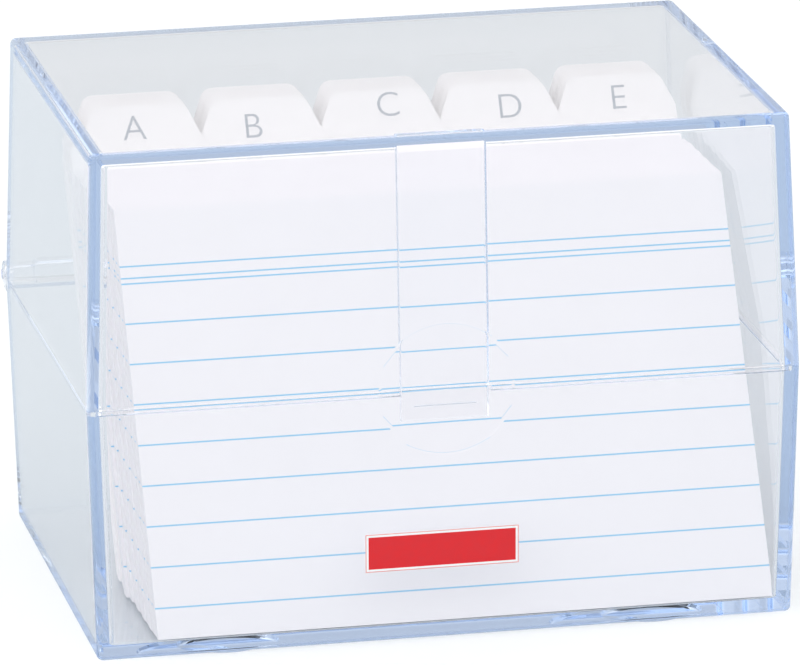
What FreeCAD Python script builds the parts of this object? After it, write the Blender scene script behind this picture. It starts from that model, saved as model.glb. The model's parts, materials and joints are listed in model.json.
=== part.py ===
import FreeCAD, Part
import math
import os

Vector = FreeCAD.Vector

# A clear plastic index card box: a tray and a lid of equal height, hinged at the back,
# holding ruled A7 cards and a set of lettered dividers that all lean on the back wall.
# The front of the box faces -Y, the hinge line runs along X, and the feet stand on z = 0.

# Box, over the outside at the line where tray and lid meet
box_width = 120.5
box_depth = 86.5
tray_height = 43.4
lid_height = 43.1
wall = 2.2
floor_thickness = 2.2
roof_thickness = 2.2
tray_draft_deg = 1.5
lid_draft_deg = 2.0
upright_radius = 1.2
outer_edge_radius = 0.9
inner_upright_radius = 1.2
inner_edge_radius = 0.5

# Feet under the tray
foot_height = 0.5
foot_radius = 8.7
foot_taper = 0.3
foot_from_side = 24.0
foot_from_front = 11.0

# Stepped joint between the two rims
rim_land = 1.1
lip_height = 0.9
lip_gap = 0.15
lip_stop = 4.0

# Tongue inside the front of the lid, with its catch ridge
tongue_width = 15.0
tongue_thickness = 1.2
tongue_tip_thickness = 0.8
tongue_reach = 5.8
tongue_gap = 0.35
tongue_round = 0.4
ridge_drop = 3.0
ridge_radius = 0.3
ridge_proud = 0.07
ridge_width = 10.0
groove_depth = 0.08

# Finger dish on the outside of the front, half in each shell
dish_radius = 11.5
dish_depth = 0.6
dish_bowl_radius = 140.0
dish_rim = 1.2

# Hinge: ears on the tray, barrel and stub pins on the lid
hinge_behind = 1.9
barrel_radius = 2.6
neck_radius = 2.1
neck_length = 4.2
ear_radius = 2.3
ear_length = 2.8
pin_radius = 1.0
pin_play = 0.05
pin_proud = 0.3
hinge_gap = 0.25

# Sticker on the front of the tray
label_width = 26.0
label_height = 6.7
label_thickness = 0.1
label_from_middle = 0.9
label_from_floor = 15.6

# Ruled cards
card_width = 105.0
card_height = 74.0
card_thickness = 0.2
card_gap = 0.034
cards_in_pack = 10
pack_count = 10

# Lettered dividers
divider_width = 105.0
divider_height = 74.0
divider_thickness = 0.3
divider_gap = 0.072
tab_height = 9.1
tab_top_width = 16.0
tab_foot_width = 23.6
tab_round = 2.4
tabs_across = 5
divider_letters = "abcdefghijklmnopqrstuvwxy"
last_divider = "yz"

# Where the contents stand
seat_gap = 0.2
front_gap = 0.5
rest_gap = 0.6
side_gap = 0.6
# How far each pack, and each row of dividers, has slid from the right wall to the left one
pack_slide_shares = (0.0, 0.01, 0.03, 0.02, 0.05, 0.03, 0.06, 0.04, 0.08, 0.15)
divider_slide_shares = (0.07, 0.09, 0.06, 0.10, 0.08)

# How far a cutting tool runs past the faces that it cuts
overrun = 1.0
# Heights nearer to each other than this count as the same
same_level = 0.05
# The contents' lean is looked for below this angle, down to steps this small
steepest_lean_deg = 75.0
lean_step_deg = 0.0001

# Worked out from the sizes above
tray_draft = math.tan(math.radians(tray_draft_deg))
lid_draft = math.tan(math.radians(lid_draft_deg))
shell_bottom = foot_height
parting = shell_bottom + tray_height
lid_top = parting + lid_height
floor_top = shell_bottom + floor_thickness
roof_under = lid_top - roof_thickness
half_width = box_width / 2
# The origin is under the middle of the whole object, hinge barrel included
behind = hinge_behind + barrel_radius
front_face = -(box_depth + behind) / 2
rear_face = front_face + box_depth
hinge_y = rear_face + hinge_behind
front_inside = front_face + wall
rear_inside = rear_face - wall


def box_corners(inset, z):
    """Corners of the box's outline at height z, drawn in by inset on all four sides."""
    x = half_width - inset
    y_low = front_face + inset
    y_high = rear_face - inset
    return [Vector(-x, y_low, z), Vector(x, y_low, z), Vector(x, y_high, z), Vector(-x, y_high, z)]


def drafted_block(z_low, inset_low, z_high, inset_high, radius):
    """Solid between two outlines of the box, with leaning sides and rounded upright edges."""
    low = box_corners(inset_low, z_low)
    high = box_corners(inset_high, z_high)
    sides = [low[::-1], high]
    for i in range(len(low)):
        after = (i + 1) % len(low)
        sides.append([low[i], low[after], high[after], high[i]])
    faces = [Part.Face(Part.makePolygon(side + side[:1])) for side in sides]
    block = Part.makeSolid(Part.makeShell(faces))
    uprights = [edge for edge in block.Edges if edge.BoundBox.ZLength > (z_high - z_low) / 2]
    return block.makeFillet(radius, uprights)


def soften_level(solid, z, radius):
    """Round every edge that lies flat at height z."""
    level_edges = []
    for edge in solid.Edges:
        box = edge.BoundBox
        if abs(box.ZMin - z) < same_level and abs(box.ZMax - z) < same_level:
            level_edges.append(edge)
    return solid.makeFillet(radius, level_edges)


def tray_inset(z):
    """How far the tray's outside has drawn in at height z."""
    return (parting - z) * tray_draft


def lid_inset(z):
    """How far the lid's outside has drawn in at height z."""
    return (z - parting) * lid_draft


def tray_shell():
    outside = drafted_block(shell_bottom, tray_inset(shell_bottom), parting, 0, upright_radius)
    outside = soften_level(outside, shell_bottom, outer_edge_radius)
    top = parting + overrun
    hollow = drafted_block(
        floor_top, tray_inset(floor_top) + wall, top, tray_inset(top) + wall, inner_upright_radius
    )
    hollow = soften_level(hollow, floor_top, inner_edge_radius)
    return outside.cut(hollow)


def lid_shell():
    outside = drafted_block(parting, 0, lid_top, lid_inset(lid_top), upright_radius)
    outside = soften_level(outside, lid_top, outer_edge_radius)
    bottom = parting - overrun
    hollow = drafted_block(
        bottom, lid_inset(bottom) + wall, roof_under, lid_inset(roof_under) + wall, inner_upright_radius
    )
    hollow = soften_level(hollow, roof_under, inner_edge_radius)
    return outside.cut(hollow)


def rim_ring(z_low, z_high, outer_inset, inner_inset, tongue_margin, stop_margin):
    """Flat ring inside the rim, open along the back and at the tongue."""
    outer = drafted_block(z_low, outer_inset, z_high, outer_inset, inner_upright_radius)
    inner = drafted_block(
        z_low - overrun, inner_inset, z_high + overrun, inner_inset, inner_upright_radius
    )
    ring = outer.cut(inner)
    span = z_high - z_low + 2 * overrun
    rear_stop = rear_inside - lip_stop + stop_margin
    rear_part = Part.makeBox(
        box_width, box_depth, span, Vector(-half_width, rear_stop, z_low - overrun)
    )
    tongue_room = tongue_width / 2 + tongue_margin
    tongue_part = Part.makeBox(
        2 * tongue_room, wall + overrun, span, Vector(-tongue_room, front_face, z_low - overrun)
    )
    return ring.cut(rear_part).cut(tongue_part)


def tray_rebate():
    """Step cut out of the inside of the tray's rim, for the lid's lip."""
    bottom = parting - lip_height - lip_gap
    return rim_ring(bottom, parting + overrun, rim_land, wall + overrun, lip_gap, lip_gap)


def lid_lip():
    """Lip under the lid's rim that drops into the tray's rebate."""
    bottom = parting - lip_height
    return rim_ring(bottom, parting + lip_gap, rim_land + lip_gap, wall, 2 * lip_gap, 0)


def dish_cutter(draft_deg, upwards):
    """Shallow bowl with a steeper rim, set square to the leaning front it is cut into."""
    bowl_edge = dish_radius - dish_rim
    ball_top = dish_bowl_radius - dish_depth
    edge_z = ball_top - math.sqrt(dish_bowl_radius**2 - bowl_edge**2)
    half_edge = bowl_edge / 2
    half_z = ball_top - math.sqrt(dish_bowl_radius**2 - half_edge**2)
    # The rim is an arc that leaves the bowl smoothly, so it turns by twice the chord's excess
    bowl_slope = math.asin(bowl_edge / dish_bowl_radius)
    chord_slope = math.atan(-edge_z / dish_rim)
    sag = math.hypot(dish_rim, edge_z) / 2 * math.tan((chord_slope - bowl_slope) / 2)
    rim_middle = Vector(
        bowl_edge + dish_rim / 2 + sag * math.sin(chord_slope),
        0,
        edge_z / 2 - sag * math.cos(chord_slope),
    )
    middle = Vector(0, 0, -dish_depth)
    bowl_end = Vector(bowl_edge, 0, edge_z)
    rim_end = Vector(dish_radius, 0, 0)
    above_rim = Vector(dish_radius, 0, overrun)
    above_middle = Vector(0, 0, overrun)
    edges = [
        Part.Arc(middle, Vector(half_edge, 0, half_z), bowl_end).toShape(),
        Part.Arc(bowl_end, rim_middle, rim_end).toShape(),
        Part.makeLine(rim_end, above_rim),
        Part.makeLine(above_rim, above_middle),
        Part.makeLine(above_middle, middle),
    ]
    bowl = Part.Face(Part.Wire(edges)).revolve(Vector(0, 0, 0), Vector(0, 0, 1), 360)
    bowl.rotate(Vector(0, 0, 0), Vector(1, 0, 0), 90 - upwards * draft_deg)
    bowl.translate(Vector(0, front_face, parting))
    return bowl


def cylinder_along_x(radius, x_low, x_high, y, z):
    return Part.makeCylinder(radius, x_high - x_low, Vector(x_low, y, z), Vector(1, 0, 0))


def ridge_y():
    """Axis of the catch ridge, which stands a little proud of the tongue's front."""
    tongue_front = front_inside + tongue_gap + ridge_drop * tray_draft
    return tongue_front - ridge_proud + ridge_radius


def tongue():
    """Rib down the inside of the lid's front that reaches into the tray as a springy tongue."""
    tip = parting - tongue_reach
    front_foot = front_inside + tongue_gap
    front_tip = front_foot + tongue_reach * tray_draft
    rear_foot = front_foot + tongue_thickness
    in_wall = front_inside - wall / 2
    in_roof = roof_under + roof_thickness / 2
    roof_lean = lid_inset(in_roof)
    outline = [
        (front_foot, parting),
        (front_tip, tip),
        (front_tip + tongue_tip_thickness, tip),
        (rear_foot, parting),
        (rear_foot + roof_lean, in_roof),
        (in_wall + roof_lean, in_roof),
        (in_wall, parting),
    ]
    points = [Vector(-tongue_width / 2, y, z) for y, z in outline]
    rib = Part.Face(Part.makePolygon(points + points[:1])).extrude(Vector(tongue_width, 0, 0))
    rear_corners = []
    for edge in rib.Edges:
        runs_up = edge.BoundBox.ZLength > tongue_thickness
        if runs_up and edge.CenterOfMass.y > (front_foot + rear_foot) / 2:
            rear_corners.append(edge)
    rib = rib.makeFillet(tongue_round, rear_corners)
    ridge = cylinder_along_x(
        ridge_radius, -ridge_width / 2, ridge_width / 2, ridge_y(), parting - ridge_drop
    )
    return rib.fuse(ridge)


def ridge_groove():
    """Shallow groove inside the tray's front, across from the catch ridge."""
    wall_y = front_inside + ridge_drop * tray_draft
    half = ridge_width / 2 + ridge_radius
    centre_y = wall_y - groove_depth + ridge_radius
    return cylinder_along_x(ridge_radius, -half, half, centre_y, parting - ridge_drop)


def foot(x, y):
    top = shell_bottom + outer_edge_radius
    slope = foot_taper / foot_height
    top_radius = foot_radius + outer_edge_radius * slope
    cone = Part.makeCone(
        foot_radius - foot_taper, top_radius, top, Vector(x, y, 0), Vector(0, 0, 1)
    )
    return cone


def feet():
    x = half_width - foot_from_side
    pads = []
    for side in (-1, 1):
        for y in (front_face + foot_from_front, rear_face - foot_from_front):
            pads.append(foot(side * x, y))
    return pads


def ear(side):
    """Hinge ear at one end of the tray's back, with the bore for the lid's stub pin."""
    x_low = min(side * half_width, side * (half_width - ear_length))
    disc = cylinder_along_x(ear_radius, x_low, x_low + ear_length, hinge_y, parting)
    root = Part.makeBox(
        ear_length,
        hinge_behind + wall / 2,
        ear_radius,
        Vector(x_low, rear_face - wall / 2, parting - ear_radius),
    )
    return disc.fuse(root)


def ear_bore(side):
    middle = side * (half_width - ear_length / 2)
    reach = ear_length / 2 + overrun
    return cylinder_along_x(pin_radius + pin_play, middle - reach, middle + reach, hinge_y, parting)


def barrel_cove():
    """Room in the top of the tray's back for the lid's barrel."""
    half = half_width - ear_length
    return cylinder_along_x(barrel_radius + hinge_gap, -half, half, hinge_y, parting)


def ear_notch(side):
    """Room in the foot of the lid's back for the tray's ear."""
    inner = half_width - ear_length - hinge_gap
    outer = half_width + overrun
    low, high = (inner, outer) if side > 0 else (-outer, -inner)
    return cylinder_along_x(ear_radius + hinge_gap, low, high, hinge_y, parting)


def hinge_barrel():
    """Barrel, its two necks and the stub pins, joined to the lid's back by a web."""
    neck_end = half_width - ear_length - hinge_gap
    barrel_end = neck_end - neck_length
    pin_end = half_width + pin_proud
    stages = ((barrel_radius, barrel_end), (neck_radius, neck_end))
    pieces = [cylinder_along_x(pin_radius, -pin_end, pin_end, hinge_y, parting)]
    for radius, end in stages:
        pieces.append(cylinder_along_x(radius, -end, end, hinge_y, parting))
        web = Part.makeBox(
            2 * end,
            hinge_behind + wall / 2,
            radius,
            Vector(-end, rear_face - wall / 2, parting),
        )
        pieces.append(web)
    return pieces[0].multiFuse(pieces[1:])


def base_tray():
    tray = tray_shell()
    tray = tray.multiFuse(feet() + [ear(-1), ear(1)])
    for cutter in (barrel_cove(), tray_rebate(), ridge_groove(), ear_bore(-1), ear_bore(1)):
        tray = tray.cut(cutter)
    return tray.cut(dish_cutter(tray_draft_deg, -1)).removeSplitter()


def lid():
    shell = lid_shell()
    for side in (-1, 1):
        shell = shell.cut(ear_notch(side))
    shell = shell.multiFuse([lid_lip(), tongue(), hinge_barrel()])
    return shell.cut(dish_cutter(lid_draft_deg, 1)).removeSplitter()


def front_label():
    """Bare sticker, flat on the leaning front of the tray."""
    middle = shell_bottom + label_from_floor
    plate = Part.makeBox(
        label_width,
        label_thickness,
        label_height,
        Vector(-label_width / 2, -label_thickness, -label_height / 2),
    )
    plate.rotate(Vector(0, 0, 0), Vector(1, 0, 0), tray_draft_deg)
    plate.translate(Vector(-label_from_middle, front_face + tray_inset(middle), middle))
    return plate


# The contents all lean by one angle, so that the rearmost divider rests on the lid's back wall
card_pitch = card_thickness + card_gap
divider_pitch = divider_thickness + divider_gap
card_count = cards_in_pack * pack_count
divider_count = len(divider_letters)
first_y = front_inside + tray_inset(floor_top) + front_gap
tall = divider_height + tab_height


def square_to_cards(lean):
    """Direction from one card to the next one behind it."""
    return Vector(0, math.cos(lean), -math.sin(lean))


def up_the_card(lean):
    return Vector(0, math.sin(lean), math.cos(lean))


def front_foot_of(depth, thickness, lean):
    """Lower front edge of a sheet that lies depth behind the first card's face."""
    first_z = floor_top + seat_gap + card_thickness * math.sin(lean)
    z = floor_top + seat_gap + thickness * math.sin(lean)
    start = first_y * math.cos(lean) - first_z * math.sin(lean)
    y = (start + depth + z * math.sin(lean)) / math.cos(lean)
    return Vector(0, y, z)


def gap_behind(lean):
    """Space left between the rearmost divider's top edge and the lid's back wall."""
    depth = card_count * card_pitch + (divider_count - 1) * divider_pitch
    top = front_foot_of(depth, divider_thickness, lean)
    top = top + square_to_cards(lean) * divider_thickness + up_the_card(lean) * tall
    return rear_inside - lid_inset(top.z) - rest_gap - top.y


def find_lean():
    """Lean at which the contents just rest on the back wall, by halving."""
    low, high = 0.0, math.radians(steepest_lean_deg)
    while high - low > math.radians(lean_step_deg):
        middle = (low + high) / 2
        if gap_behind(middle) > 0:
            low = middle
        else:
            high = middle
    return low


lean = find_lean()
inner_half = half_width - tray_inset(floor_top) - wall


def slid_middle(width, share):
    """Middle of a sheet that has slid by a share of its play from right to left."""
    play = 2 * (inner_half - side_gap) - width
    return inner_half - side_gap - width / 2 - share * play


def lean_back(shape, depth, thickness):
    """Stand a sheet drawn upright at the origin in its place among the contents."""
    shape.rotate(Vector(0, 0, 0), Vector(1, 0, 0), -math.degrees(lean))
    shape.translate(front_foot_of(depth, thickness, lean))
    return shape


def card(number):
    pack = number // cards_in_pack
    middle = slid_middle(card_width, pack_slide_shares[pack % len(pack_slide_shares)])
    corner = Vector(middle - card_width / 2, 0, 0)
    sheet = Part.makeBox(card_width, card_thickness, card_height, corner)
    return lean_back(sheet, number * card_pitch, card_thickness)


def card_pack(pack):
    first = pack * cards_in_pack
    return Part.makeCompound([card(first + i) for i in range(cards_in_pack)])


def rounded_outline(points, radii):
    """Closed outline in the XZ plane, with an arc of the given radius at each point."""
    edges = []
    ends = []
    count = len(points)
    for i in range(count):
        here = Vector(points[i][0], 0, points[i][1])
        back = Vector(points[i - 1][0], 0, points[i - 1][1]) - here
        ahead = Vector(points[(i + 1) % count][0], 0, points[(i + 1) % count][1]) - here
        if radii[i] == 0:
            ends.append((here, here))
            continue
        back.normalize()
        ahead.normalize()
        half_turn = back.getAngle(ahead) / 2
        cut_back = radii[i] / math.tan(half_turn)
        middle_way = back + ahead
        middle_way.normalize()
        arc_middle = here + middle_way * (radii[i] / math.sin(half_turn) - radii[i])
        start, stop = here + back * cut_back, here + ahead * cut_back
        edges.append(Part.Arc(start, arc_middle, stop).toShape())
        ends.append((start, stop))
    for i in range(count):
        edges.append(Part.LineSegment(ends[i][1], ends[(i + 1) % count][0]).toShape())
    return Part.Wire(Part.__sortEdges__(edges))


def divider_outline(place):
    """Sheet with one tab, at the given place across; its foot is cut off at the sheet's side."""
    half = divider_width / 2
    tab_pitch = divider_width / tabs_across
    tab_middle = (place + 0.5) * tab_pitch - half
    top = divider_height + tab_height
    half_top = tab_top_width / 2
    half_foot = tab_foot_width / 2
    slope = (half_foot - half_top) / tab_height
    points = [(half, 0)]
    radii = [0]
    right_foot = tab_middle + half_foot
    if right_foot < half:
        points += [(half, divider_height), (right_foot, divider_height)]
        radii += [0, 0]
    else:
        points.append((half, divider_height + (right_foot - half) / slope))
        radii.append(0)
    points += [(tab_middle + half_top, top), (tab_middle - half_top, top)]
    radii += [tab_round, tab_round]
    left_foot = tab_middle - half_foot
    if left_foot > -half:
        points += [(left_foot, divider_height), (-half, divider_height)]
        radii += [0, 0]
    else:
        points.append((-half, divider_height + (-half - left_foot) / slope))
        radii.append(0)
    points.append((-half, 0))
    radii.append(0)
    return rounded_outline(points, radii)


def divider(number):
    row = number // tabs_across
    share = divider_slide_shares[row % len(divider_slide_shares)]
    sheet = Part.Face(divider_outline(number % tabs_across))
    sheet = sheet.extrude(Vector(0, divider_thickness, 0))
    sheet.translate(Vector(slid_middle(divider_width, share), 0, 0))
    depth = card_count * card_pitch + number * divider_pitch
    return lean_back(sheet, depth, divider_thickness)


def divider_name(number):
    last = number == divider_count - 1
    return "divider_" + (last_divider if last else divider_letters[number])


def save(shape, name):
    shape.exportStep(os.path.join("parts", name + ".step"))


def build():
    os.makedirs("parts", exist_ok=True)
    save(base_tray(), "base_tray")
    save(lid(), "lid")
    save(front_label(), "front_label")
    for pack in range(pack_count):
        save(card_pack(pack), "card_pack_%02d" % (pack + 1))
    for number in range(divider_count):
        save(divider(number), divider_name(number))
    print("contents lean back by %.2f degrees" % math.degrees(lean))


build()
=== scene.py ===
import json
import math

import bmesh
import bpy
from mathutils import Matrix, Vector


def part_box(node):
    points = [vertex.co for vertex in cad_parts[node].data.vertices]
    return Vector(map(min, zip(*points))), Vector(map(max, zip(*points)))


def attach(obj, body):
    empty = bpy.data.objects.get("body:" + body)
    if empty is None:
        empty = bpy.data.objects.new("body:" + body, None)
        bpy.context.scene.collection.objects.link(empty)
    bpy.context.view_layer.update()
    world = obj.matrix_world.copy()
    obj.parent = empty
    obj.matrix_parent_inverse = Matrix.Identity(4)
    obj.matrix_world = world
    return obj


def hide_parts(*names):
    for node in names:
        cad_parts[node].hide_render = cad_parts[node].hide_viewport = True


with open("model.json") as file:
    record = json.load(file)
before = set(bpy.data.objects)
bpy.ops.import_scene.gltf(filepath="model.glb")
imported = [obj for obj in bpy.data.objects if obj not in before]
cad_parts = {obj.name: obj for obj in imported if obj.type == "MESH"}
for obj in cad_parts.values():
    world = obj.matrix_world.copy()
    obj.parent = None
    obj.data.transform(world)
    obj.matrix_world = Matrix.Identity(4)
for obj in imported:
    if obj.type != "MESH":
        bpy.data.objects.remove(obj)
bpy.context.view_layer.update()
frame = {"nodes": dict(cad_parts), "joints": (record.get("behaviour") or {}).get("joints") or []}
print("frame loaded")

mm = 0.001
overrun = 1.0 * mm        # how far a cutter runs past what it cuts
airGap = 0.05 * mm        # left between two clear pieces, so that light sees two surfaces
sameSpot = 0.001 * mm     # points closer than this are one
sameLevel = 0.02 * mm     # corners this close to a level lie on it
straight = 0.9            # how far a direction follows an axis, of 1
smoothAngle = math.radians(13)

# what the frame gives
jointAt = {joint["name"]: Vector(joint["pos_m"]) for joint in frame["joints"]}
hingeLine = jointAt["lid_hinge"]
trayLow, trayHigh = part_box("base_tray")
lidLow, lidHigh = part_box("lid")
parting = hingeLine.z
frontFace = trayLow.y
halfWidth = trayHigh.x

shells = {
    "wall": 2.2 * mm,
    "feetHeight": 0.5 * mm,
    "hingeBehind": 1.9 * mm,
    "trayDraft": math.radians(1.5),
    "lidDraft": math.radians(2.0),
    "outerUpright": 1.2 * mm,
    "outerEdge": 0.9 * mm,
    "innerUpright": 1.2 * mm,
    "innerEdge": 0.5 * mm,
    "uprightSteps": 8,
    "edgeSteps": 8,
}
rearFace = hingeLine.y - shells["hingeBehind"]
middleY = (frontFace + rearFace) / 2
frontInside = frontFace + shells["wall"]
rearInside = rearFace - shells["wall"]
shellBottom = trayLow.z + shells["feetHeight"]
floorTop = shellBottom + shells["wall"]
roofUnder = lidHigh.z - shells["wall"]


# small tools


def clearSelection():
    if bpy.context.object and bpy.context.object.mode != "OBJECT":
        bpy.ops.object.mode_set(mode="OBJECT")
    bpy.ops.object.select_all(action="DESELECT")


def takeUp(piece):
    clearSelection()
    piece.select_set(True)
    bpy.context.view_layer.objects.active = piece


def applyPlace(piece):
    takeUp(piece)
    bpy.ops.object.transform_apply(location=True, rotation=True, scale=True)


def newBlock(name, low, high):
    clearSelection()
    middle = (Vector(low) + Vector(high)) / 2
    bpy.ops.mesh.primitive_cube_add(size=1, location=middle, scale=Vector(high) - Vector(low))
    block = bpy.context.object
    block.name = name
    applyPlace(block)
    return block


def rod(name, radius, fromX, toX, y, z, sides):
    clearSelection()
    bpy.ops.mesh.primitive_cylinder_add(
        vertices=sides,
        radius=radius,
        depth=toX - fromX,
        location=((fromX + toX) / 2, y, z),
        rotation=(0, math.pi / 2, 0),
    )
    piece = bpy.context.object
    piece.name = name
    applyPlace(piece)
    return piece


def pick(piece, kind, test):
    takeUp(piece)
    bpy.ops.object.mode_set(mode="EDIT")
    bpy.ops.mesh.select_mode(type=kind)
    bpy.ops.mesh.select_all(action="DESELECT")
    cage = bmesh.from_edit_mesh(piece.data)
    parts = {"VERT": cage.verts, "EDGE": cage.edges, "FACE": cage.faces}[kind]
    for part in parts:
        if test(part):
            part.select_set(True)
    cage.select_flush_mode()
    bmesh.update_edit_mesh(piece.data)


def bevelPicked(radius, steps):
    bpy.ops.mesh.bevel(
        offset=radius, offset_type="OFFSET", segments=steps, profile=0.5, affect="EDGES"
    )
    clearSelection()


def near(a, b):
    return abs(a - b) < sameLevel


def runsUp(edge):
    along = edge.verts[0].co - edge.verts[1].co
    return abs(along.z) > straight * along.length


def facesUp(face):
    return face.normal.z > straight


def facesDown(face):
    return face.normal.z < -straight


def facesFront(face):
    return face.normal.y < -straight


def edgeAtX(x):
    return lambda edge: all(near(corner.co.x, x) for corner in edge.verts)


def edgeAtZ(z):
    return lambda edge: all(near(corner.co.z, z) for corner in edge.verts)


def combine(piece, tool, way):
    change = piece.modifiers.new("change", "BOOLEAN")
    change.operation = way
    change.solver = "EXACT"
    change.object = tool
    takeUp(piece)
    bpy.ops.object.modifier_apply(modifier=change.name)
    bpy.data.objects.remove(tool)


def cutAway(piece, tool):
    combine(piece, tool, "DIFFERENCE")


def addOn(piece, tool):
    combine(piece, tool, "UNION")


def facesOut(piece):
    pick(piece, "FACE", lambda face: True)
    bpy.ops.mesh.normals_make_consistent(inside=False)
    clearSelection()


def smoothPiece(piece):
    pick(piece, "VERT", lambda corner: True)
    bpy.ops.mesh.remove_doubles(threshold=sameSpot)
    clearSelection()
    takeUp(piece)
    bpy.ops.object.shade_smooth_by_angle(angle=smoothAngle)
    weight = piece.modifiers.new("even shading", "WEIGHTED_NORMAL")
    weight.keep_sharp = True
    bpy.ops.object.modifier_apply(modifier=weight.name)


def reportMesh(piece):
    mesh = piece.data
    uses = {}
    for face in mesh.polygons:
        for key in face.edge_keys:
            uses[key] = uses.get(key, 0) + 1
    openEdges = sum(1 for count in uses.values() if count != 2)
    print(piece.name, len(mesh.polygons), "faces", openEdges, "open edges")


# the two clear shells


def trayInset(z):
    return (parting - z) * math.tan(shells["trayDraft"])


def lidInset(z):
    return (z - parting) * math.tan(shells["lidDraft"])


def draftedBlock(name, lowZ, lowInset, highZ, highInset, radius):
    low = (-halfWidth + lowInset, frontFace + lowInset, lowZ)
    high = (halfWidth - lowInset, rearFace - lowInset, highZ)
    block = newBlock(name, low, high)
    halfDepth = (rearFace - frontFace) / 2
    pick(block, "FACE", facesUp)
    bpy.ops.transform.resize(
        value=(
            (halfWidth - highInset) / (halfWidth - lowInset),
            (halfDepth - highInset) / (halfDepth - lowInset),
            1,
        ),
        center_override=(0, middleY, highZ),
    )
    pick(block, "EDGE", runsUp)
    bevelPicked(radius, shells["uprightSteps"])
    return block


def softenLevel(block, z, radius):
    pick(block, "EDGE", edgeAtZ(z))
    bevelPicked(radius, shells["edgeSteps"])


rim = {
    "land": 1.1 * mm,       # width of the outer step, all round
    "lip": 0.9 * mm,        # how far the lid's lip drops into the tray
    "gap": 0.15 * mm,
    "stop": 4.0 * mm,       # the lip ends this far before the rear wall
}
tongue = {
    "width": 15.0 * mm,
    "thickness": 1.2 * mm,
    "tip": 0.8 * mm,
    "reach": 5.8 * mm,
    "gap": 0.35 * mm,
    "rearHalf": 0.6,        # behind this share of the thickness an edge is a rear one
    "round": 0.4 * mm,
    "roundSteps": 8,
    "endRound": 0.18 * mm,
    "endSteps": 3,
    "ridgeDrop": 3.0 * mm,
    "ridgeRadius": 0.3 * mm,
    "ridgeProud": 0.07 * mm,
    "ridgeWidth": 10.0 * mm,
    "ridgeSides": 40,
    "grooveDepth": 0.08 * mm,
}


def ridgeRod(name, half, y, z):
    return rod(name, tongue["ridgeRadius"], -half, half, y, z, tongue["ridgeSides"])


def rimBlock(name, lowZ, highZ, inset, rearStop, tongueMargin):
    block = draftedBlock(name, lowZ, inset, highZ, inset, shells["innerUpright"])
    low = (-2 * halfWidth, rearStop, lowZ - overrun)
    cutAway(block, newBlock("rear part", low, (2 * halfWidth, 2 * rearFace, highZ + overrun)))
    reach = tongue["width"] / 2 + tongueMargin
    low = (-reach, frontFace - overrun, lowZ - overrun)
    high = (reach, frontInside + overrun, highZ + overrun)
    cutAway(block, newBlock("tongue room", low, high))
    return block


dish = {
    "radius": 11.5 * mm,
    "depth": 0.6 * mm,
    "bowlRadius": 140.0 * mm,
    "rim": 0.6 * mm,        # width of the steep ring around the bowl
    "rimSteps": 8,
    "bowlSteps": 10,
    "around": 144,
}


def dishDepth(reach):
    # a plain bowl, then a rim that leaves it smoothly and steepens to the edge
    bowlEdge = dish["radius"] - dish["rim"]
    inBowl = min(reach, bowlEdge)
    past = reach - inBowl
    slope = bowlEdge / dish["bowlRadius"]
    edgeDepth = dish["depth"] - bowlEdge * slope / 2
    curl = (edgeDepth / dish["rim"] - slope) / dish["rim"]
    return dish["depth"] - inBowl**2 / (2 * dish["bowlRadius"]) - slope * past - curl * past**2


def dishTool(lean):
    clearSelection()
    bpy.ops.mesh.primitive_circle_add(
        vertices=dish["around"], radius=dish["radius"], fill_type="NGON", location=(0, 0, 0)
    )
    plug = bpy.context.object
    plug.name = "dish tool"
    pick(plug, "FACE", lambda face: True)
    bpy.ops.transform.translate(value=(0, 0, overrun))
    bpy.ops.mesh.extrude_region_move(TRANSFORM_OT_translate={"value": (0, 0, -overrun)})
    bowlEdge = dish["radius"] - dish["rim"]
    rimSteps, bowlSteps = dish["rimSteps"], dish["bowlSteps"]
    rings = [dish["radius"] - dish["rim"] * step / rimSteps for step in range(rimSteps + 1)]
    rings += [bowlEdge * (1 - step / bowlSteps) for step in range(1, bowlSteps)]
    for before, reach in zip(rings, rings[1:]):
        drop = dishDepth(reach) - dishDepth(before)
        bpy.ops.mesh.extrude_region_move(TRANSFORM_OT_translate={"value": (0, 0, -drop)})
        share = reach / before
        level = (0, 0, -dishDepth(reach))
        bpy.ops.transform.resize(value=(share, share, 1), center_override=level)
    bpy.ops.mesh.merge(type="CENTER")
    facesOut(plug)
    plug.rotation_euler = (math.pi / 2 - lean, 0, 0)
    plug.location = (0, frontFace, parting)
    applyPlace(plug)
    return plug


hingeParts = {
    "barrelRadius": 2.6 * mm,
    "neckRadius": 2.1 * mm,
    "neckLength": 4.2 * mm,
    "earRadius": 2.3 * mm,
    "earLength": 2.8 * mm,
    "pinRadius": 1.0 * mm,
    "pinPlay": 0.05 * mm,
    "gap": 0.25 * mm,
    "endRound": 0.25 * mm,
    "endSteps": 8,
    "sides": 48,
}


def hingeRod(name, radius, fromX, toX):
    return rod(name, radius, fromX, toX, hingeLine.y, hingeLine.z, hingeParts["sides"])


def roundEnds(piece, *places):
    for x in places:
        pick(piece, "EDGE", edgeAtX(x))
        bevelPicked(hingeParts["endRound"], hingeParts["endSteps"])


def hingeWeb(name, fromX, toX, lowZ, highZ):
    inWall = rearFace - shells["wall"] / 2
    return newBlock(name, (fromX, inWall, lowZ), (toX, hingeLine.y, highZ))


def addEar(tray, side):
    outer = halfWidth
    inner = outer - hingeParts["earLength"]
    low, high = sorted((side * inner, side * outer))
    disc = hingeRod("ear", hingeParts["earRadius"], low, high)
    roundEnds(disc, side * outer)
    root = hingeWeb("ear root", low, high, hingeLine.z - hingeParts["earRadius"], hingeLine.z)
    addOn(disc, root)
    addOn(tray, disc)
    bore = hingeRod(
        "bore", hingeParts["pinRadius"] + hingeParts["pinPlay"], low - overrun, high + overrun
    )
    cutAway(tray, bore)


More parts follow.
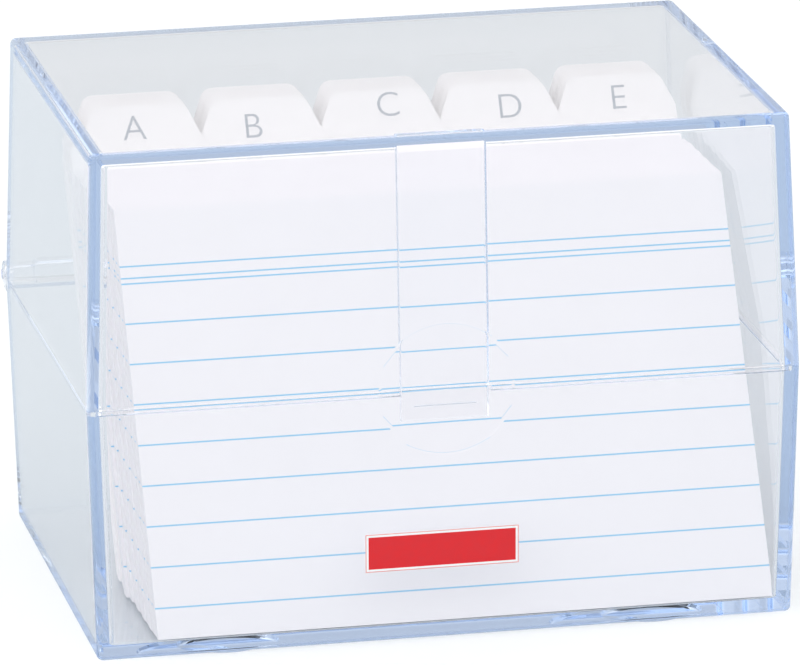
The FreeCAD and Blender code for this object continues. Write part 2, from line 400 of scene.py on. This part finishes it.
feet = {
    "radius": 8.7 * mm,
    "taper": 0.3 * mm,
    "fromSide": 24.0 * mm,
    "fromFront": 11.0 * mm,
    "round": 0.12 * mm,
    "roundSteps": 3,
    "sides": 72,
}


def addFoot(tray, x, y):
    clearSelection()
    top = shellBottom + shells["outerEdge"]
    height = top - trayLow.z
    slope = feet["taper"] / shells["feetHeight"]
    bpy.ops.mesh.primitive_cone_add(
        vertices=feet["sides"],
        radius1=feet["radius"] - feet["taper"],
        radius2=feet["radius"] + shells["outerEdge"] * slope,
        depth=height,
        location=(x, y, trayLow.z + height / 2),
    )
    pad = bpy.context.object
    applyPlace(pad)
    pick(pad, "EDGE", edgeAtZ(trayLow.z))
    bevelPicked(feet["round"], feet["roundSteps"])
    addOn(tray, pad)


def makeTray():
    tray = draftedBlock(
        "tray_shell",
        shellBottom,
        trayInset(shellBottom),
        parting - airGap / 2,
        0,
        shells["outerUpright"],
    )
    softenLevel(tray, shellBottom, shells["outerEdge"])
    top = parting + overrun
    hollow = draftedBlock(
        "hollow",
        floorTop,
        trayInset(floorTop) + shells["wall"],
        top,
        trayInset(top) + shells["wall"],
        shells["innerUpright"],
    )
    softenLevel(hollow, floorTop, shells["innerEdge"])
    cutAway(tray, hollow)
    footX = halfWidth - feet["fromSide"]
    for x in (-footX, footX):
        for y in (frontFace + feet["fromFront"], rearFace - feet["fromFront"]):
            addFoot(tray, x, y)
    step = rimBlock(
        "step",
        parting - rim["lip"] - rim["gap"],
        parting + overrun,
        rim["land"],
        rearInside - rim["stop"] + rim["gap"],
        rim["gap"],
    )
    cutAway(tray, step)
    coveHalf = halfWidth - hingeParts["earLength"]
    cove = hingeRod("cove", hingeParts["barrelRadius"] + hingeParts["gap"], -coveHalf, coveHalf)
    cutAway(tray, cove)
    for side in (-1, 1):
        addEar(tray, side)
    grooveHalf = tongue["ridgeWidth"] / 2 + tongue["ridgeRadius"]
    grooveZ = parting - tongue["ridgeDrop"]
    grooveY = frontInside + trayInset(grooveZ) - tongue["grooveDepth"] + tongue["ridgeRadius"]
    cutAway(tray, ridgeRod("groove", grooveHalf, grooveY, grooveZ))
    cutAway(tray, dishTool(-shells["trayDraft"]))
    smoothPiece(tray)
    return tray


def makeTongue():
    # the rib down the lid's front, and the springy tip that reaches into the tray
    half = tongue["width"] / 2
    foot = frontInside + tongue["gap"]
    rearFoot = foot + tongue["thickness"]
    inWall = frontInside - shells["wall"] / 2
    inRoof = roofUnder + shells["wall"] / 2
    rib = newBlock("rib", (-half, inWall, parting + airGap / 2), (half, rearFoot, inRoof))
    pick(rib, "FACE", facesUp)
    bpy.ops.transform.translate(value=(0, lidInset(inRoof), 0))
    clearSelection()
    roundRear(rib, rearFoot)
    tipZ = parting - tongue["reach"]
    tip = newBlock("tip", (-half, foot, tipZ), (half, rearFoot, parting + shells["wall"]))
    pick(tip, "FACE", facesDown)
    thinner = tongue["tip"] / tongue["thickness"]
    bpy.ops.transform.resize(value=(1, thinner, 1), center_override=(0, foot, tipZ))
    bpy.ops.transform.translate(value=(0, trayInset(tipZ), 0))
    clearSelection()
    roundRear(tip, foot + tongue["thickness"] * tongue["rearHalf"])
    pick(tip, "EDGE", edgeAtZ(tipZ))
    bevelPicked(tongue["endRound"], tongue["endSteps"])
    addOn(rib, tip)
    ridgeZ = parting - tongue["ridgeDrop"]
    ridgeY = foot + trayInset(ridgeZ) - tongue["ridgeProud"] + tongue["ridgeRadius"]
    ridgeHalf = tongue["ridgeWidth"] / 2
    addOn(rib, ridgeRod("ridge", ridgeHalf, ridgeY, ridgeZ))
    return rib


def roundRear(piece, behindY):
    def rearUpright(edge):
        return runsUp(edge) and (edge.verts[0].co.y + edge.verts[1].co.y) / 2 > behindY

    pick(piece, "EDGE", rearUpright)
    bevelPicked(tongue["round"], tongue["roundSteps"])


def makeBarrel():
    neckEnd = halfWidth - hingeParts["earLength"] - hingeParts["gap"]
    barrelEnd = neckEnd - hingeParts["neckLength"]
    pinEnd = lidHigh.x
    barrel = hingeRod("barrel", hingeParts["barrelRadius"], -barrelEnd, barrelEnd)
    roundEnds(barrel, -barrelEnd, barrelEnd)
    web = hingeWeb("web", -barrelEnd, barrelEnd, parting, parting + hingeParts["barrelRadius"])
    addOn(barrel, web)
    neck = hingeRod("neck", hingeParts["neckRadius"], -neckEnd, neckEnd)
    roundEnds(neck, -neckEnd, neckEnd)
    web = hingeWeb("web", -neckEnd, neckEnd, parting, parting + hingeParts["neckRadius"])
    addOn(neck, web)
    addOn(barrel, neck)
    pins = hingeRod("pins", hingeParts["pinRadius"], -pinEnd, pinEnd)
    roundEnds(pins, -pinEnd, pinEnd)
    addOn(barrel, pins)
    return barrel


def makeLid():
    bottom = parting + airGap / 2
    lid = draftedBlock(
        "lid_shell", bottom, 0, lidHigh.z, lidInset(lidHigh.z), shells["outerUpright"]
    )
    softenLevel(lid, lidHigh.z, shells["outerEdge"])
    lip = rimBlock(
        "lip",
        parting - rim["lip"],
        parting + overrun,
        rim["land"] + rim["gap"],
        rearInside - rim["stop"],
        2 * rim["gap"],
    )
    addOn(lid, lip)
    low = parting - tongue["reach"]
    hollow = draftedBlock(
        "hollow",
        low,
        lidInset(low) + shells["wall"],
        roofUnder,
        lidInset(roofUnder) + shells["wall"],
        shells["innerUpright"],
    )
    softenLevel(hollow, roofUnder, shells["innerEdge"])
    cutAway(lid, hollow)
    for side in (-1, 1):
        inner = halfWidth - hingeParts["earLength"] - hingeParts["gap"]
        fromX, toX = sorted((side * inner, side * (halfWidth + overrun)))
        cutAway(lid, hingeRod("notch", hingeParts["earRadius"] + hingeParts["gap"], fromX, toX))
    addOn(lid, makeBarrel())
    addOn(lid, makeTongue())
    cutAway(lid, dishTool(shells["lidDraft"]))
    smoothPiece(lid)
    return lid


# materials

toneSpan = (0.35, 0.65)    # the part of a noise's range that a colour change takes up


def newMaterial(name):
    material = bpy.data.materials.new(name)
    material.use_nodes = True
    nodes = material.node_tree.nodes
    return material, nodes, material.node_tree.links, nodes["Principled BSDF"]


def addNoise(nodes, links, place, scale, detail):
    noise = nodes.new("ShaderNodeTexNoise")
    noise.inputs["Scale"].default_value = scale
    noise.inputs["Detail"].default_value = detail
    links.new(place.outputs["Object"], noise.inputs["Vector"])
    return noise.outputs["Fac"]


def spread(nodes, links, value, fromLow, fromHigh, toLow, toHigh):
    mapRange = nodes.new("ShaderNodeMapRange")
    mapRange.inputs["From Min"].default_value = fromLow
    mapRange.inputs["From Max"].default_value = fromHigh
    mapRange.inputs["To Min"].default_value = toLow
    mapRange.inputs["To Max"].default_value = toHigh
    links.new(value, mapRange.inputs["Value"])
    return mapRange.outputs["Result"]


def calculate(nodes, links, operation, first, second=None):
    step = nodes.new("ShaderNodeMath")
    step.operation = operation
    for socket, value in zip(step.inputs, (first, second)):
        if value is None:
            continue
        if isinstance(value, (int, float)):
            socket.default_value = value
        else:
            links.new(value, socket)
    return step.outputs["Value"]


def mixColours(nodes, links, factor, first, second):
    mix = nodes.new("ShaderNodeMix")
    mix.data_type = "RGBA"
    for name, value in (("A", first), ("B", second)):
        socket = next(s for s in mix.inputs if s.name == name and s.type == "RGBA")
        if isinstance(value, tuple):
            socket.default_value = (*value, 1)
        else:
            links.new(value, socket)
    links.new(factor, mix.inputs["Factor"])
    return next(s for s in mix.outputs if s.type == "RGBA")


def mixSurface(nodes, links, factor, first, second):
    mix = nodes.new("ShaderNodeMixShader")
    links.new(factor, mix.inputs["Fac"])
    links.new(first.outputs[0], mix.inputs[1])
    links.new(second.outputs[0], mix.inputs[2])
    links.new(mix.outputs[0], nodes["Material Output"].inputs["Surface"])


def addTone(nodes, links, noise, dark, light):
    tone = spread(nodes, links, noise, *toneSpan, 0, 1)
    return mixColours(nodes, links, tone, dark, light)


def addRoughness(nodes, links, shader, noise, smoothest, roughest, span=(0.3, 0.7)):
    rough = spread(nodes, links, noise, *span, smoothest, roughest)
    links.new(rough, shader.inputs["Roughness"])


def addBump(nodes, links, shader, height, strength, distance):
    bump = nodes.new("ShaderNodeBump")
    bump.inputs["Strength"].default_value = strength
    bump.inputs["Distance"].default_value = distance
    links.new(height, bump.inputs["Height"])
    links.new(bump.outputs["Normal"], shader.inputs["Normal"])


plastic = {
    "ior": 1.55,
    "tint": (0.15, 0.44, 0.84),
    "density": 7.8,                      # per metre, so only the edges go blue
    "face": (0.985, 0.98, 0.985),        # what one wall lets through, seen straight on
    "lampShare": (0.98, 0.982, 0.985),   # what one face lets through on the way to a lamp
    "mostTurns": 14,                     # a ray caught in a wall for longer than this is let out
    "wear": (380, 5),                    # noise scale and detail, here and below
    "wearSpan": (0.45, 0.75),
    "rough": (0.0, 0.012),
    "flow": (55, 1),
    "flowBump": (0.15, 0.02 * mm),       # strength and height, here and below
}


def clearPlastic(name):
    material, nodes, links, shader = newMaterial(name)
    place = nodes.new("ShaderNodeTexCoord")
    shader.inputs["Base Color"].default_value = (*plastic["face"], 1)
    shader.inputs["Transmission Weight"].default_value = 1
    shader.inputs["IOR"].default_value = plastic["ior"]
    wear = addNoise(nodes, links, place, *plastic["wear"])
    addRoughness(nodes, links, shader, wear, *plastic["rough"], plastic["wearSpan"])
    flow = addNoise(nodes, links, place, *plastic["flow"])
    addBump(nodes, links, shader, flow, *plastic["flowBump"])
    inside = nodes.new("ShaderNodeVolumeAbsorption")
    inside.inputs["Color"].default_value = (*plastic["tint"], 1)
    inside.inputs["Density"].default_value = plastic["density"]
    links.new(inside.outputs["Volume"], nodes["Material Output"].inputs["Volume"])
    # rays from the paper to the lamps go straight through
    rays = nodes.new("ShaderNodeLightPath").outputs
    toLamp = calculate(nodes, links, "MAXIMUM", rays["Is Shadow Ray"], rays["Is Diffuse Ray"])
    caught = calculate(nodes, links, "GREATER_THAN", rays["Ray Depth"], plastic["mostTurns"])
    toLamp = calculate(nodes, links, "MAXIMUM", toLamp, caught)
    through = nodes.new("ShaderNodeBsdfTransparent")
    through.inputs["Color"].default_value = (*plastic["lampShare"], 1)
    mixSurface(nodes, links, toLamp, shader, through)
    return material


cardFoot = jointAt["pack_01_tilt"]
cards = {
    "height": 74.0 * mm,
    "paper": (0.80, 0.783, 0.805),
    "paperShade": (0.78, 0.763, 0.785),
    "ink": (0.20, 0.50, 0.74),
    "firstLine": 5.33 * mm,     # up the card
    "linePitch": 6.971 * mm,
    "lineCount": 8,
    "headLines": (61.05 * mm, 62.0 * mm, 64.05 * mm),
    "lineHalf": 0.11 * mm,
    "lineSoft": 0.05 * mm,
    "edgeInk": 0.22,            # how much of a line shows on the cut edges
    "edgeFrom": 0.5,            # a face turned this far sideways is a cut edge
    "specks": (2600, 2),
    "speckSpan": (0.5, 0.62),
    "fibres": (1400, 6),
    "clouds": (45, 2),
    "toneSpan": (0.1, 0.45),
    "rough": (0.5, 0.7),
    "bump": (0.25, 0.02 * mm),
}
lean = math.acos((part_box("card_pack_01")[1].z - cardFoot.z) / cards["height"])


def lineMask(nodes, links, height, lineZ):
    above = calculate(nodes, links, "SUBTRACT", height, lineZ)
    away = calculate(nodes, links, "ABSOLUTE", above)
    half = cards["lineHalf"]
    soft = cards["lineSoft"]
    return spread(nodes, links, away, half - soft, half + soft, 1, 0)


def ruledPaper():
    material, nodes, links, shader = newMaterial("ruled paper")
    place = nodes.new("ShaderNodeTexCoord")
    parts = nodes.new("ShaderNodeSeparateXYZ")
    links.new(place.outputs["Object"], parts.inputs["Vector"])
    height = parts.outputs["Z"]
    up = math.cos(lean)
    first = cardFoot.z + cards["firstLine"] * up
    pitch = cards["linePitch"] * up
    above = calculate(nodes, links, "SUBTRACT", height, first)
    row = calculate(nodes, links, "ROUND", calculate(nodes, links, "DIVIDE", above, pitch))
    row = calculate(nodes, links, "MAXIMUM", row, 0)
    row = calculate(nodes, links, "MINIMUM", row, cards["lineCount"] - 1)
    rise = calculate(nodes, links, "MULTIPLY", row, pitch)
    lines = lineMask(nodes, links, height, calculate(nodes, links, "ADD", rise, first))
    for headLine in cards["headLines"]:
        line = lineMask(nodes, links, height, cardFoot.z + headLine * up)
        lines = calculate(nodes, links, "MAXIMUM", lines, line)
    # on the cut edges only specks of ink show
    shape = nodes.new("ShaderNodeNewGeometry")
    facing = nodes.new("ShaderNodeSeparateXYZ")
    links.new(shape.outputs["Normal"], facing.inputs["Vector"])
    sideways = calculate(nodes, links, "ABSOLUTE", facing.outputs["X"])
    onEdge = calculate(nodes, links, "GREATER_THAN", sideways, cards["edgeFrom"])
    specks = addNoise(nodes, links, place, *cards["specks"])
    speck = spread(nodes, links, specks, *cards["speckSpan"], 0, 1)
    edgeInk = calculate(nodes, links, "MULTIPLY", speck, cards["edgeInk"])
    keep = calculate(nodes, links, "SUBTRACT", 1, onEdge)
    strength = calculate(nodes, links, "MAXIMUM", keep, edgeInk)
    lines = calculate(nodes, links, "MULTIPLY", lines, strength)
    fibres = addNoise(nodes, links, place, *cards["fibres"])
    clouds = addNoise(nodes, links, place, *cards["clouds"])
    tone = calculate(nodes, links, "MULTIPLY", fibres, clouds)
    tone = spread(nodes, links, tone, *cards["toneSpan"], 0, 1)
    paper = mixColours(nodes, links, tone, cards["paperShade"], cards["paper"])
    colour = mixColours(nodes, links, lines, paper, cards["ink"])
    links.new(colour, shader.inputs["Base Color"])
    addRoughness(nodes, links, shader, fibres, *cards["rough"])
    addBump(nodes, links, shader, fibres, *cards["bump"])
    return material


dividers = {
    "height": 83.1 * mm,        # with the tab
    "width": 105.0 * mm,
    "across": 5,
    "sheet": (0.89, 0.865, 0.875),
    "sheetShade": (0.875, 0.85, 0.86),
    "grain": (2200, 4),
    "clouds": (30, 2),
    "rough": (0.34, 0.5),
    "bump": (0.2, 0.02 * mm),
}
letters = {
    "ink": (0.19, 0.23, 0.30),
    "inkPale": (0.27, 0.31, 0.38),
    "grain": (3000, 3),
    "rough": (0.4, 0.6),
    "capHeight": 4.3 * mm,
    "thickness": 0.02 * mm,
    "thinning": -0.012,         # off the strokes, as a share of the text's size
    "depth": 0.02,              # of the text as it is first made, for a size of 1
    # by column of tabs: down from the tab's top, and sideways from its middle
    "drops": (1.9 * mm, 2.9 * mm, 0.6 * mm, 2.3 * mm, 2.0 * mm),
    "shifts": (-1.1 * mm, -1.45 * mm, 1.6 * mm, 2.05 * mm, 0.4 * mm),
}


def dividerSheet():
    material, nodes, links, shader = newMaterial("divider sheet")
    place = nodes.new("ShaderNodeTexCoord")
    grain = addNoise(nodes, links, place, *dividers["grain"])
    clouds = addNoise(nodes, links, place, *dividers["clouds"])
    colour = addTone(nodes, links, clouds, dividers["sheetShade"], dividers["sheet"])
    links.new(colour, shader.inputs["Base Color"])
    addRoughness(nodes, links, shader, grain, *dividers["rough"])
    addBump(nodes, links, shader, grain, *dividers["bump"])
    return material


def letterInk():
    material, nodes, links, shader = newMaterial("letter ink")
    place = nodes.new("ShaderNodeTexCoord")
    grain = addNoise(nodes, links, place, *letters["grain"])
    colour = addTone(nodes, links, grain, letters["inkPale"], letters["ink"])
    links.new(colour, shader.inputs["Base Color"])
    addRoughness(nodes, links, shader, grain, *letters["rough"])
    return material


sticker = {
    "thickness": 0.09 * mm,
    "offWall": 0.01 * mm,
    "keyline": 0.14 * mm,
    "margin": 0.5 * mm,
    "red": (0.73, 0.008, 0.014),
    "redDeep": (0.70, 0.010, 0.017),
    "white": (0.93, 0.93, 0.93),
    "keyRed": (0.84, 0.30, 0.26),
    "whiteDeep": 0.97,          # share of the colour where the print is darkest
    "keyDeep": 0.9,
    "grain": (900, 5),
    "rough": (0.28, 0.42),
    "bump": (0.1, 0.01 * mm),
}


def printed(name, colour, deep):
    material, nodes, links, shader = newMaterial(name)
    place = nodes.new("ShaderNodeTexCoord")
    grain = addNoise(nodes, links, place, *sticker["grain"])
    links.new(addTone(nodes, links, grain, deep, colour), shader.inputs["Base Color"])
    addRoughness(nodes, links, shader, grain, *sticker["rough"])
    addBump(nodes, links, shader, grain, *sticker["bump"])
    return material


def darker(colour, share):
    return tuple(part * share for part in colour)


# pieces


def dress(piece, material):
    piece.data.materials.clear()
    piece.data.materials.append(material)


def makeSticker():
    low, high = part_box("front_label")
    middle = (low + high) / 2
    size = high - low
    tall = size.z / math.cos(shells["trayDraft"]) - 2 * airGap
    half = Vector((size.x / 2, 0, tall / 2))
    plate = newBlock("sticker", (-half.x, -sticker["thickness"], -half.z), (half.x, 0, half.z))
    pick(plate, "FACE", facesFront)
    bpy.ops.mesh.inset(thickness=sticker["keyline"])
    bpy.ops.mesh.inset(thickness=sticker["margin"] - sticker["keyline"])
    clearSelection()
    white, keyRed = sticker["white"], sticker["keyRed"]
    prints = (
        printed("sticker white", white, darker(white, sticker["whiteDeep"])),
        printed("sticker red", sticker["red"], sticker["redDeep"]),
        printed("sticker key line", keyRed, darker(keyRed, sticker["keyDeep"])),
    )
    for layer in prints:
        plate.data.materials.append(layer)
    inner = half.x - sticker["margin"]
    outer = half.x - sticker["keyline"]
    for face in plate.data.polygons:
        if not facesFront(face):
            continue
        reach = max(abs(plate.data.vertices[i].co.x) for i in face.vertices)
        if reach <= inner + sameSpot:
            face.material_index = 1
        elif reach > outer + sameSpot:
            face.material_index = 2
    plate.rotation_euler = (shells["trayDraft"], 0, 0)
    faceY = frontFace + trayInset(middle.z)
    plate.location = (middle.x, faceY - sticker["offWall"], middle.z)
    applyPlace(plate)
    return plate


def letterMesh(word):
    clearSelection()
    bpy.ops.object.text_add()
    text = bpy.context.object
    text.data.body = word
    text.data.align_x = "CENTER"
    text.data.offset = letters["thinning"]
    text.data.extrude = letters["depth"] / 2
    bpy.ops.object.convert(target="MESH")
    return bpy.context.object


def measureCap():
    sample = letterMesh("H")
    tall = max(corner.co.y for corner in sample.data.vertices)
    bpy.data.objects.remove(sample)
    return tall


def placeLetter(node, word, place, capTall):
    foot = jointAt[node + "_tilt"]
    low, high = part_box(node)
    letter = letterMesh(word)
    letter.name = "letter_" + word.lower()
    size = letters["capHeight"] / capTall
    across = dividers["width"] / dividers["across"]
    tabMiddle = (low.x + high.x) / 2 + (place + 0.5) * across - dividers["width"] / 2
    x = tabMiddle + letters["shifts"][place]
    upCard = Vector((0, math.sin(lean), math.cos(lean)))
    outwards = Vector((0, -math.cos(lean), math.sin(lean)))
    rise = dividers["height"] - letters["drops"][place] - letters["capHeight"]
    start = Vector((x, foot.y, foot.z)) + upCard * rise + outwards * letters["thickness"] / 2
    deep = letters["thickness"] / letters["depth"]
    stand = Matrix((
        (size, 0, 0, start.x),
        (0, upCard.y * size, outwards.y * deep, start.y),
        (0, upCard.z * size, outwards.z * deep, start.z),
        (0, 0, 0, 1),
    ))
    letter.data.transform(stand)
    letter.matrix_world = Matrix.Identity(4)
    return letter


# build

tray = makeTray()
reportMesh(tray)
dress(tray, clearPlastic("tray plastic"))
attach(tray, "tray")
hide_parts("base_tray")
print("tray made")

lid = makeLid()
reportMesh(lid)
dress(lid, clearPlastic("lid plastic"))
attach(lid, "lid")
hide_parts("lid")
print("lid made")

plate = makeSticker()
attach(plate, "tray")
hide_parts("front_label")
print("sticker made")

paper = ruledPaper()
sheet = dividerSheet()
ink = letterInk()
capTall = measureCap()
letterCount = 0
for node in sorted(frame["nodes"]):
    if node.startswith("card_pack"):
        dress(frame["nodes"][node], paper)
    if node.startswith("divider"):
        dress(frame["nodes"][node], sheet)
        word = node.split("_")[1].upper()
        place = letterCount % dividers["across"]
        letter = placeLetter(node, word, place, capTall)
        dress(letter, ink)
        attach(letter, node + "_body")
        letterCount += 1
print("contents dressed")


# stage, light and camera

stageLook = {
    "floorSize": 8.0,
    "floorDrop": 0.02 * mm,
    "floorColour": (0.52, 0.56, 0.59),
    "floorRoughness": 0.9,
    "whiteColour": (0.45, 0.46, 0.47),  # of the white that the camera sees, not from the lights
    "seenColour": (0.43, 0.435, 0.44),
    "glassShare": 0.15,         # how much of that white shows in the clear plastic
    "horizon": 0.84,
    "zenith": 1.54,
    "rearShare": 0.79,          # the studio is darker behind the box
    "rearSpan": (0.0, 0.8),     # from here to there in the sky's Y
    "leftShare": 1.60,          # and lighter on its left
    "leftSpan": (-0.9, 0.1),    # in its X
    "bounces": 32,
}


def makeFloor():
    clearSelection()
    below = (0, 0, -stageLook["floorDrop"])
    bpy.ops.mesh.primitive_plane_add(size=stageLook["floorSize"], location=below)
    floor = bpy.context.object
    floor.name = "floor"
    material, nodes, links, shader = newMaterial("floor")
    shader.inputs["Base Color"].default_value = (*stageLook["floorColour"], 1)
    shader.inputs["Roughness"].default_value = stageLook["floorRoughness"]
    shader.inputs["Specular IOR Level"].default_value = 0
    seen = nodes.new("ShaderNodeBsdfDiffuse")
    seen.inputs["Color"].default_value = (*stageLook["seenColour"], 1)
    glow = nodes.new("ShaderNodeEmission")
    glow.inputs["Color"].default_value = (*stageLook["whiteColour"], 1)
    both = nodes.new("ShaderNodeAddShader")
    links.new(seen.outputs[0], both.inputs[0])
    links.new(glow.outputs[0], both.inputs[1])
    rays = nodes.new("ShaderNodeLightPath").outputs
    inGlass = calculate(nodes, links, "MAXIMUM", rays["Is Glossy Ray"], rays["Is Transmission Ray"])
    inGlass = calculate(nodes, links, "MULTIPLY", inGlass, stageLook["glassShare"])
    direct = calculate(nodes, links, "MAXIMUM", rays["Is Camera Ray"], inGlass)
    # a ray that left the cards or the floor is light, and meets the plain colour
    mixSurface(nodes, links, direct, shader, both)
    dress(floor, material)


def makeWorld():
    world = bpy.data.worlds.new("studio")
    bpy.context.scene.world = world
    world.use_nodes = True
    nodes = world.node_tree.nodes
    links = world.node_tree.links
    place = nodes.new("ShaderNodeTexCoord")
    parts = nodes.new("ShaderNodeSeparateXYZ")
    links.new(place.outputs["Generated"], parts.inputs["Vector"])
    look = stageLook
    level = spread(nodes, links, parts.outputs["Z"], 0, 1, look["horizon"], look["zenith"])
    rear = spread(nodes, links, parts.outputs["Y"], *look["rearSpan"], 1, look["rearShare"])
    left = spread(nodes, links, parts.outputs["X"], *look["leftSpan"], look["leftShare"], 1)
    sides = calculate(nodes, links, "MULTIPLY", rear, left)
    level = calculate(nodes, links, "MULTIPLY", level, sides)
    links.new(level, nodes["Background"].inputs["Strength"])
    nodes["Background"].inputs["Color"].default_value = (1, 1, 1, 1)


view = {
    "aim": Vector((0, -2.25 * mm, 43.5 * mm)),
    "azimuth": math.radians(-11.432),
    "elevation": math.radians(15.765),
    "roll": math.radians(-0.593),
    "distance": 1380.66 * mm,
    "right": 0.931 * mm,
    "up": -1.745 * mm,
    "lens": 364.868,
    "sensor": 36.0,
}


def makeCamera():
    level = math.cos(view["elevation"])
    back = Vector((
        math.sin(view["azimuth"]) * level,
        -math.cos(view["azimuth"]) * level,
        math.sin(view["elevation"]),
    ))
    right = Vector((0, 0, 1)).cross(back).normalized()
    up = back.cross(right)
    turn, rise = math.cos(view["roll"]), math.sin(view["roll"])
    axisX = right * turn + up * rise
    axisY = up * turn - right * rise
    spot = view["aim"] + axisX * view["right"] + axisY * view["up"] + back * view["distance"]
    clearSelection()
    bpy.ops.object.camera_add(location=spot)
    camera = bpy.context.object
    camera.matrix_world = Matrix((
        (axisX.x, axisY.x, back.x, spot.x),
        (axisX.y, axisY.y, back.y, spot.y),
        (axisX.z, axisY.z, back.z, spot.z),
        (0, 0, 0, 1),
    ))
    camera.data.lens = view["lens"]
    camera.data.sensor_width = view["sensor"]
    bpy.context.scene.camera = camera


makeFloor()
makeWorld()
makeCamera()
scene = bpy.context.scene
scene.view_settings.view_transform = "Standard"
scene.cycles.max_bounces = stageLook["bounces"]
scene.cycles.transmission_bounces = stageLook["bounces"]
scene.cycles.glossy_bounces = stageLook["bounces"]
scene.cycles.transparent_max_bounces = stageLook["bounces"]
print("stage, light and camera set")
